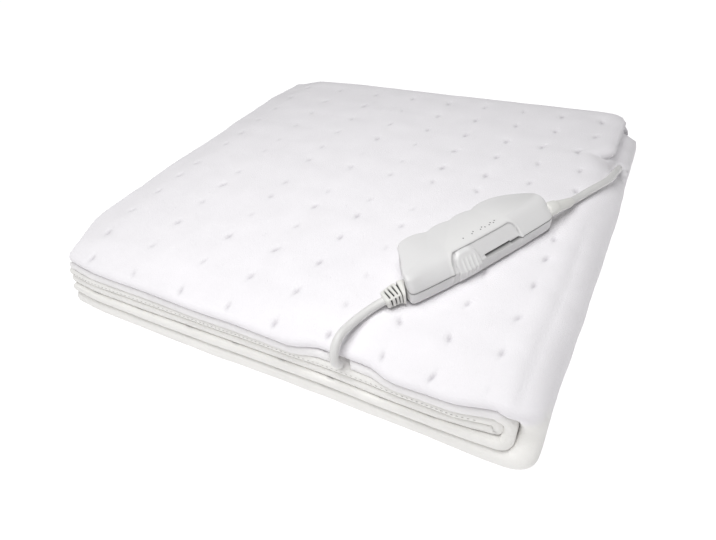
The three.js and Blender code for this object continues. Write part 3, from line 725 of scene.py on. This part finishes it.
def pressed_in(u, v, w, seam):
    """The recess, its rim and the slot behind the slider, for one place on the straight side."""
    inside = inside_recess(u, w)
    # the rim's share goes out as the case's edge share, which paints the rim lighter: a painted
    # highlight
    rim = math.exp(-((inside + RIM["middle"]) / RIM["middle"]) ** 2) * smooth(*RIM["from"], w)
    floor = max(recess_floor(w) + bow(u), v)
    v = mix(v, floor, smooth(*WALL, inside)) - RIM["height"] * rim
    shade = math.exp(-((inside - SHADE_PLACE) / SHADE_PLACE) ** 2) * smooth(*SHADE_FROM, w)
    shadow = WALL_SHADE * shade
    if SLOT["left"] < u < SLOT["right"] and abs(w - SEAM) < SLOT["half_height"]:
        v += SLOT["deep"]
        shadow = 1.0
    return v, rim, shadow, seam * (1 - smooth(*SEAM_OPENS, inside) * smooth(*SEAM_RETURNS, u))


def case_station(i, w):
    """Local place of one station of the outline at a height, with its painted highlight and painted
    shadow shares.
    """
    here, before, after = outline[i], outline[i - 1], outline[(i + 1) % len(outline)]
    inward = Vector((-(after - before).y, (after - before).x)).normalized()
    near = NEAR_SIDE[0] < here.x < NEAR_SIDE[1] and here.y < NEAR_DEPTH
    soft = near * (w > SEAM) * smooth(*SOFT_LEFT, here.x) * (1 - smooth(*SOFT_RIGHT, here.x))
    u, v = here + inward * straight(INSET, w) * mix(1, SOFT_INSET, soft)
    lean = mix(straight(LEAN, w), straight(LEAN_RIGHT, w), smooth(*LEAN_CHANGES, here.x))
    lean *= mix(LEFT_LEAN, 1, smooth(*LEFT_LEAN_ENDS, here.x))
    v += lean * max(1 - here.y / CASE_WIDTH, 0)
    edge, shadow, seam = 0.0, 0.0, max(1 - abs(w - SEAM) / SEAM_HALF, 0)
    if near:
        v, edge, shadow, seam = pressed_in(u, v, w, seam)
    u, v = Vector((u, v)) + inward * SEAM_DEPTH * seam * (shadow < 1)
    return on_control(u, v, w), edge, max(shadow, seam)


def close_ends(shape):
    """Fills each open end with one face, and turns all faces outwards."""
    bmesh.ops.edgeloop_fill(shape, edges=[edge for edge in shape.edges if edge.is_boundary])
    bmesh.ops.recalc_face_normals(shape, faces=shape.faces)


def shape_case():
    case = bmesh.new()
    round_count, up_count = len(outline), len(HEIGHTS) - 1
    bmesh.ops.create_grid(case, x_segments=round_count, y_segments=up_count, size=0.5)
    # the edge share paints the recess's raised rim lighter: a painted highlight
    painted_highlight_share = case.verts.layers.float.new("edge")
    shadow_share = case.verts.layers.float.new("shadow")
    for vert in case.verts:
        i = round((vert.co.x + 0.5) * round_count) % round_count
        j = round((vert.co.y + 0.5) * up_count)
        vert.co, vert[painted_highlight_share], vert[shadow_share] = case_station(i, HEIGHTS[j])
    bmesh.ops.remove_doubles(case, verts=case.verts, dist=1e-6)
    close_ends(case)
    return made_mesh("control_case", case)


control_case = add_piece("control_case", shape_case(), "base", "shell",
                         "controller_lower_shell", "controller_upper_shell")

# %% [markdown]
# ## The slider
#
# The slider is a small thumb piece that stands in the recess and has four raised grips. It is a
# fine grid that follows the recess's own slope, stands out from it, and falls away round its arched
# edge. A grid is used because the grips are then only a rule for how far each place stands out. Its
# back is closed, so that it is a whole piece when it moves along the recess.

# %% Shape the slider
KNOB = {"left": 38.2, "right": 58.4, "middle": 48, "low": 2.5, "high": 20.6, "round": 7.5}
KNOB_EDGE, KNOB_COLUMNS, KNOB_ROWS = 1.3, 56, 44
KNOB_FACE, KNOB_SLOPE, KNOB_BACK, KNOB_FOOT = -1.0, 0.84, 0.3, SEAM - 1
GRIPS, GRIP_WIDTH, GRIP_HEIGHT = [43.4, 46.9, 50.4, 53.9], 0.75, 0.6
GRIP_FOOT, GRIP_HEAD, GRIP_SWEEP, SWEEP_MIDDLE = (4, 7), (15.5, 18), 0.015, 11


def inside_knob(u, w):
    side = min(u - KNOB["left"], KNOB["right"] - u)
    return inside_arch(side, KNOB["high"] - w, w - KNOB["low"], KNOB["round"])


def knob_place(u, w):
    """How far back the slider's face is at a place, and the share that a grip has there, which paints
    the grip lighter as a painted highlight.
    """
    short = 1 - min(max(inside_knob(u, w), 0) / KNOB_EDGE, 1)
    swept = u - GRIP_SWEEP * (w - SWEEP_MIDDLE) ** 2
    grip = sum(math.exp(-((swept - place) / GRIP_WIDTH) ** 2) for place in GRIPS)
    grip *= smooth(*GRIP_FOOT, w) * (1 - smooth(*GRIP_HEAD, w))
    back = HIGH_FLOOR + FLOOR_SLOPE * (w - SEAM) if w > KNOB_FOOT else LOW_FLOOR
    face = KNOB_FACE + KNOB_SLOPE * max(w - KNOB_FOOT, 0)
    return mix(back, face, math.sqrt(1 - short * short)) - GRIP_HEIGHT * grip, grip


def on_arch(u, w):
    """A place outside the slider's round corners, brought in to the nearest one."""
    if inside_knob(u, w) >= 0:
        return u, w
    turn = KNOB["round"]
    side = KNOB["left"] + turn if u < KNOB["middle"] else KNOB["right"] - turn
    corner = Vector((side, KNOB["high"] - turn))
    return corner + (Vector((u, w)) - corner).normalized() * turn


def shape_knob():
    knob = bmesh.new()
    bmesh.ops.create_grid(knob, x_segments=KNOB_COLUMNS, y_segments=KNOB_ROWS, size=0.5)
    # here the edge share is each grip's share, which paints the grips lighter: a painted highlight
    painted_highlight_share = knob.verts.layers.float.new("edge")
    for vert in knob.verts:
        u, w = on_arch(mix(KNOB["left"], KNOB["right"], vert.co.x + 0.5),
                       mix(KNOB["low"], KNOB["high"], vert.co.y + 0.5))
        face, vert[painted_highlight_share] = knob_place(u, w)
        vert.co = on_control(u, face + bow(KNOB["middle"]), w)
    bmesh.ops.recalc_face_normals(knob, faces=knob.faces)
    rim = [edge for edge in knob.edges if edge.is_boundary]
    wall = bmesh.ops.extrude_edge_only(knob, edges=rim)["geom"]
    moved = [part for part in wall if isinstance(part, bmesh.types.BMVert)]
    bmesh.ops.translate(knob, vec=ACROSS * KNOB_BACK * MM, verts=moved)
    close_ends(knob)
    return made_mesh("control_slider", knob)


control_slider = add_piece("control_slider", shape_knob(), "slider", "knob", "controller_slider")

# %% [markdown]
# ## Level marks
#
# Beside the recess the case has small printed marks, one to four dots, which say how warm each stop
# of the slider is. Each dot is a low dome of 80 faces, because it is repeated, and is set on the case.

# %% Print the dots
MARK_PLACES, MARK_V, MARK_STEP, MARK_SIZE = [54.5, 63.5, 72.5, 81.5], 16.2, 2.0, 0.58
MARK_OFFSETS, MARK_FLATNESS, MARK_SEAT = (-0.4, 0.9), 0.16, [(13, 22.3), (17, 22.5)]


def print_marks():
    marks = bmesh.new()
    for count, place in enumerate(MARK_PLACES, start=1):
        for i in range(count):
            u = place + (i - (count - 1) / 2) * MARK_STEP
            v = MARK_V + MARK_OFFSETS[i % 2]
            seat = Matrix.Translation(on_control(u, v, straight(MARK_SEAT, v)))
            bmesh.ops.create_icosphere(marks, subdivisions=2, radius=MARK_SIZE * MM,
                                       matrix=seat @ Matrix.Diagonal((1, 1, MARK_FLATNESS, 1)))
    return made_mesh("level_marks", marks)


level_marks = add_piece("level_marks", print_marks(), "base", "shell")

# %% [markdown]
# ## The two strain reliefs
#
# A lead leaves the case through a soft sleeve that stops it from kinking. The thin lead's sleeve is
# squarish, with a plain collar and open slits between its fins; the mains lead's sleeve is round
# and tapers. Both are a ring of vertices carried along a bent line, which is how a sleeve is drawn
# in one go: each ring has its own size, and at a slit the ring is small except at the four corners.

# %% Carry a ring along a bent line
RING_POINTS, BEND_REACH = 48, 0.36
CORNER_FROM, LEAST_SLIT = (0.8, 0.93), 0.01


def bent_line(start, leaving, end, arriving, share):
    """A place on a line that leaves in one direction and arrives in another, and its direction."""
    reach = (end - start).length * BEND_REACH
    first, second = start + leaving * reach, end - arriving * reach
    back = 1 - share
    place = (start * back ** 3 + first * 3 * back ** 2 * share + second * 3 * back * share ** 2
             + end * share ** 3)
    heading = ((first - start) * back ** 2 + (second - first) * 2 * back * share
               + (end - second) * share ** 2)
    return place, heading.normalized()


def shape_sleeve(name, line, rings, power):
    """A ring is (share along the line, width, height, a slit's depth, 1 if its corners are cut too)."""
    sleeve = bmesh.new()
    along = len(rings) - 1
    bmesh.ops.create_grid(sleeve, x_segments=RING_POINTS, y_segments=along, size=0.5)
    shadow_share = sleeve.verts.layers.float.new("shadow")
    for vert in sleeve.verts:
        angle = math.tau * (vert.co.x + 0.5)
        share, width, height, slit, whole = rings[round((vert.co.y + 0.5) * along)]
        at_corner = smooth(*CORNER_FROM, abs(math.sin(2 * angle))) * (1 - whole)
        cut = slit * (1 - at_corner)
        place, heading = line(share)
        across = heading.cross(Vector((0, 0, 1))).normalized()
        up = across.cross(heading)
        vert.co = (place + across * (width / 2 - cut) * squared(math.cos(angle), power)
                   + up * (height / 2 - cut) * squared(math.sin(angle), power)) * MM
        vert[shadow_share] = cut / max(slit, LEAST_SLIT)
    bmesh.ops.remove_doubles(sleeve, verts=sleeve.verts, dist=1e-6)
    close_ends(sleeve)
    return made_mesh(name, sleeve)


def leaves_along(route):
    return (Vector(route[1]) - Vector(route[0])).normalized()


print("ring points of a sleeve:", RING_POINTS)

# %% The thin lead's sleeve
FEED_ROOT = on_control(0.4, 11.6, 6.6) / MM
FEED_LEAVES = (ALONG * -0.869 + ACROSS * 0.496).normalized()
FEED_SIZES = ((16.6, 11.2), (11.6, 8.6))
SLITS = [(0.22, 0.3, 1), (0.41, 0.49, 0), (0.59, 0.67, 0), (0.77, 0.84, 0)]
SLIT_DEPTH, SLIT_SIDE = 1.7, 0.012
COLLAR_END, END_ROUNDING, ROOT_HOLE, LEAD_HOLE = 0.2, 1.1, 3, 5.9


def feed_line(share):
    return bent_line(FEED_ROOT, FEED_LEAVES, Vector(FEED_ROUTE[0]), leaves_along(FEED_ROUTE), share)


def feed_rings():
    """A closed root, a plain collar, four slits, and an end that narrows to the lead."""
    def ring(share, size_at, slit=0, whole=0, less=0):
        sizes = (mix(a, b, size_at) - less for a, b in zip(*FEED_SIZES))
        return (share, *sizes, slit, whole)
    rings = [(0, ROOT_HOLE, ROOT_HOLE, 0, 0), ring(0, 0), ring(COLLAR_END, 0)]
    for start, end, whole in SLITS:
        rings += [ring(start, start), ring(start + SLIT_SIDE, start, SLIT_DEPTH, whole),
                  ring(end - SLIT_SIDE, end, SLIT_DEPTH, whole), ring(end, end)]
    return rings + [ring(0.93, 0.93), ring(0.98, 1, less=END_ROUNDING),
                    (1, LEAD_HOLE, LEAD_HOLE, 0, 0)]


feed_sleeve = add_piece("feed_sleeve", shape_sleeve("feed_sleeve", feed_line, feed_rings(), 0.5),
                        "base", "soft_rubber", "controller_feed_relief")

# %% The mains lead's sleeve
MAINS_ROOT = on_control(130.4, 10.4, 12.6) / MM
# share along the line, width, height, a slit's depth, and whether its corners are cut too
MAINS_RINGS = [
    (0, 9, 9, 0, 0), (0.02, 11.4, 11, 0, 0), (0.05, 12, 11.6, 0, 0), (0.27, 11.4, 11, 0, 0),
    (0.31, 10.9, 10.5, 0, 0), (0.33, 10, 9.6, 0, 0), (0.36, 9.6, 9.2, 0, 0), (0.6, 8.8, 8.6, 0, 0),
    (0.85, 7.9, 7.8, 0, 0), (0.96, 7.4, 7.4, 0, 0), (0.99, 6.9, 6.9, 0, 0), (1, 5.9, 5.9, 0, 0),
]


def mains_line(share):
    return bent_line(MAINS_ROOT, ALONG, Vector(MAINS_ROUTE[0]), leaves_along(MAINS_ROUTE), share)


mains_sleeve = add_piece("mains_sleeve", shape_sleeve("mains_sleeve", mains_line, MAINS_RINGS, 1),
                         "base", "soft_rubber", "controller_mains_relief")

# %% [markdown]
# ## A shared surface effect
#
# Nothing soft or moulded has one flat colour. Each finish here has slow patches that change its
# colour a little, a fine grain that the light catches, and an uneven gloss. That effect is one node
# group with named inputs, built once and placed in every material with its own values. It gives out
# only colours, values and normals, so each material keeps its own shader.

# %% Build the effect as a node group
def socket(group, name, direction, kind, value=None):
    made = group.interface.new_socket(name=name, in_out=direction, socket_type=kind)
    if value is not None:
        made.default_value = value


def add_node(tree, kind, **settings):
    node = tree.nodes.new(kind)
    for name, value in settings.items():
        setattr(node, name, value)
    return node


EFFECT_INPUTS = {"Patch Scale": 20, "Patch Strength": 0.03, "Grain Scale": 900,
                 "Grain Height": 0.00005, "Roughness": 0.5, "Gloss Spread": 0.1}


def set_inputs(node, values):
    for name, value in values.items():
        node.inputs[name].default_value = value


def surface_effect():
    group = bpy.data.node_groups.new("surface_effect", "ShaderNodeTree")
    socket(group, "Place", "INPUT", "NodeSocketVector")
    socket(group, "Colour", "INPUT", "NodeSocketColor", (0.8, 0.8, 0.8, 1))
    for name, value in EFFECT_INPUTS.items():
        socket(group, name, "INPUT", "NodeSocketFloat", value)
    socket(group, "Colour", "OUTPUT", "NodeSocketColor")
    socket(group, "Roughness", "OUTPUT", "NodeSocketFloat")
    socket(group, "Normal", "OUTPUT", "NodeSocketVector")
    given, result = add_node(group, "NodeGroupInput"), add_node(group, "NodeGroupOutput")
    patches, grain = (add_node(group, "ShaderNodeTexNoise") for _ in range(2))
    patches.inputs["Detail"].default_value, grain.inputs["Detail"].default_value = 3, 4
    centred = add_node(group, "ShaderNodeMath", operation="SUBTRACT")
    centred.inputs[1].default_value = 0.5
    weighed, gloss = (add_node(group, "ShaderNodeMath", operation="MULTIPLY_ADD") for _ in range(2))
    weighed.inputs[2].default_value = 1
    tinted = add_node(group, "ShaderNodeVectorMath", operation="SCALE")
    bump = add_node(group, "ShaderNodeBump")
    for source, outlet, target, inlet in (
            (given, "Place", patches, "Vector"), (given, "Patch Scale", patches, "Scale"),
            (given, "Place", grain, "Vector"), (given, "Grain Scale", grain, "Scale"),
            (patches, "Fac", centred, 0), (centred, 0, weighed, 0),
            (given, "Patch Strength", weighed, 1), (given, "Colour", tinted, 0),
            (weighed, 0, tinted, "Scale"), (tinted, "Vector", result, "Colour"),
            (centred, 0, gloss, 0), (given, "Gloss Spread", gloss, 1),
            (given, "Roughness", gloss, 2), (gloss, 0, result, "Roughness"),
            (grain, "Fac", bump, "Height"), (given, "Grain Height", bump, "Distance"),
            (bump, "Normal", result, "Normal")):
        group.links.new(source.outputs[outlet], target.inputs[inlet])
    return group


SURFACE_EFFECT = surface_effect()
print("surface effect nodes:", len(SURFACE_EFFECT.nodes))


# %% Put the effect in a material
def blend_by(tree, effect, attribute, color):
    """Mixes another colour in before the effect, where a share painted on the mesh says so."""
    share = add_node(tree, "ShaderNodeAttribute", attribute_name=attribute)
    mixer = add_node(tree, "ShaderNodeMix", data_type="RGBA")
    # a Mix node has one set of sockets for each kind of data: 6, 7 and output 2 are its colours
    inlet, first, second, outlet = mixer.inputs[0], mixer.inputs[6], mixer.inputs[7], mixer.outputs[2]
    before = effect.inputs["Colour"]
    if before.is_linked:
        tree.links.new(before.links[0].from_socket, first)
    else:
        first.default_value = before.default_value
    second.default_value = (*color, 1)
    tree.links.new(share.outputs["Fac"], inlet)
    tree.links.new(outlet, before)


def shader_of(material):
    return material.node_tree.nodes["Principled BSDF"]


def finish(name, color, patch, grain, gloss, blends=()):
    """A material with the shared effect on its shader.

    patch is a scale and a strength, grain a scale and a height, gloss a roughness and its spread, and
    each blend the name of a share on the mesh and its colour."""
    material = bpy.data.materials.new(name)
    material.use_nodes = True
    tree = material.node_tree
    effect = add_node(tree, "ShaderNodeGroup", node_tree=SURFACE_EFFECT)
    set_inputs(effect, {"Colour": (*color, 1), **dict(zip(EFFECT_INPUTS, (*patch, *grain, *gloss)))})
    place = add_node(tree, "ShaderNodeTexCoord")
    tree.links.new(place.outputs["Object"], effect.inputs["Place"])
    for outlet, inlet in (("Colour", "Base Color"), ("Roughness", "Roughness"), ("Normal", "Normal")):
        tree.links.new(effect.outputs[outlet], shader_of(material).inputs[inlet])
    for attribute, blended in blends:
        blend_by(tree, effect, attribute, blended)
    print("finish:", name)
    return material


# %% [markdown]
# ## Finishes
#
# The cloth is brushed fleece: quite matt, with a soft sheen at grazing angles and a nap of fibres
# about a millimetre long. The welded spots are pressed flat, and their colour is darker as painted
# shade in their dents. The hemmed edges are a little warmer, because the dense folded edge is not
# brushed. Both come from shares that were painted on the mesh when it was folded. The control is
# satin moulded plastic, the leads and sleeves are flexible mouldings with a creamy tint.

# %% Brushed fleece, and the thread of the hem
# the weld colour is painted shade in the welded spots' dents
fleece = finish("fleece", (0.885, 0.868, 0.893), (34, 0.09), (1100, 0.0003), (0.93, 0.1),
                [("hem", (0.89, 0.88, 0.855)), ("weld_painted_shade", (0.62, 0.6, 0.63))])
set_inputs(shader_of(fleece), {"Sheen Weight": 0.25, "Sheen Roughness": 0.45,
                               "Specular IOR Level": 0.25})
thread = finish("thread", (0.62, 0.61, 0.59), (260, 0.12), (3600, 0.00008), (0.7, 0.12))

# %% Satin moulded plastic for the control, and the ink of its marks
# the case's edge colour is a painted highlight on the recess's rim, and its shadow colour is painted
# shade in the seam, the slot and along the recess wall
case_plastic = finish("case_plastic", (0.725, 0.72, 0.72), (45, 0.04), (2600, 0.00004), (0.42, 0.16),
                      [("edge", (0.76, 0.755, 0.75)), ("shadow", (0.03, 0.03, 0.03))])
# the slider's edge colour is a painted highlight on its grips
slider_plastic = finish("slider_plastic", (0.74, 0.735, 0.735), (70, 0.05), (3000, 0.00003),
                        (0.34, 0.16), [("edge", (0.80, 0.795, 0.79))])
mark_ink = finish("mark_ink", (0.25, 0.25, 0.25), (300, 0.2), (4000, 0.00002), (0.5, 0.2))

# %% Flexible mouldings for the leads, sleeves, tie and plug, and nickel for the pins
sheath = finish("lead_sheath", (0.71, 0.705, 0.695), (60, 0.05), (2200, 0.00005), (0.46, 0.14))
sleeve_rubber = finish("sleeve_rubber", (0.76, 0.755, 0.725), (90, 0.06), (2000, 0.00006),
                       (0.55, 0.12), [("shadow", (0.02, 0.02, 0.02))])
tie_rubber = finish("tie_rubber", (0.6, 0.6, 0.58), (120, 0.08), (1800, 0.0001), (0.62, 0.15))
moulding = finish("plug_moulding", (0.72, 0.71, 0.68), (50, 0.05), (2400, 0.00007), (0.5, 0.16))
nickel = finish("pin_nickel", (0.72, 0.7, 0.66), (200, 0.1), (3500, 0.00002), (0.24, 0.2))
set_inputs(shader_of(nickel), {"Metallic": 1.0})

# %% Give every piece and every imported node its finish
NODE_FINISHES = {"coil_tie": tie_rubber, "plug_body": moulding, "plug_relief": sleeve_rubber,
                 "plug_pin_left": nickel, "plug_pin_right": nickel}
PIECE_FINISHES = ((pad, fleece), (hem_stitches, thread), (control_case, case_plastic),
                  (control_slider, slider_plastic), (level_marks, mark_ink), (feed_lead, sheath),
                  (mains_lead, sheath), (feed_sleeve, sleeve_rubber), (mains_sleeve, sleeve_rubber))
for piece, material in PIECE_FINISHES:
    piece.data.materials.append(material)
for name, material in NODE_FINISHES.items():
    frame["nodes"][name].data.materials.clear()
    frame["nodes"][name].data.materials.append(material)
print("pieces finished:", len(PIECE_FINISHES), "packed nodes:", len(NODE_FINISHES))

# %% [markdown]
# ## Floor and light
#
# The object stands on a plain pale floor. The floor is a little lit from inside, so that it stays
# clean and even behind the pad, yet does not throw too much light up under the folds. One soft
# light above brings out the front of the top, a weak one fills the front edge, and a third, low at
# the right, lifts the right side. Large area lights are used, because a small one would cut hard
# shadows.

# %% A pale floor
bpy.ops.mesh.primitive_plane_add(size=30)
floor = bpy.context.object
floor.name = "floor"
floor_finish = bpy.data.materials.new("floor")
floor_finish.use_nodes = True
set_inputs(shader_of(floor_finish), {
    "Base Color": (0.3, 0.3, 0.3, 1), "Roughness": 0.9, "Emission Color": (1, 0.99, 1, 1),
    "Emission Strength": 0.95})
floor.data.materials.append(floor_finish)
print("floor, m:", round(floor.dimensions.x), "square")

# %% Soft light from the room and from three lamps
world = bpy.data.worlds.new("studio")
bpy.context.scene.world = world
world.use_nodes = True
set_inputs(world.node_tree.nodes["Background"], {"Color": (1, 1, 1, 1), "Strength": 0.225})
bpy.context.scene.view_settings.view_transform = "Standard"


def soft_light(name, place, aim, size, power):
    data = bpy.data.lights.new(name, "AREA")
    data.size = size
    data.energy = power
    light = put_in_scene(name, data)
    light.location = place
    light.rotation_euler = (Vector(aim) - Vector(place)).to_track_quat("-Z", "Y").to_euler()
    print(name, "light, W:", power)


soft_light("key", place=(0.01, -0.22, 0.76), aim=(0.01, -0.18, 0), size=0.5, power=4.95)
soft_light("fill", place=(-0.15, -1.0, 0.28), aim=(0, -0.19, 0.03), size=0.6, power=0.8)
soft_light("side", place=(0.9, -0.85, 0.22), aim=(0.13, -0.05, 0.06), size=0.5, power=0.55)

# %% The end
bpy.context.view_layer.update()
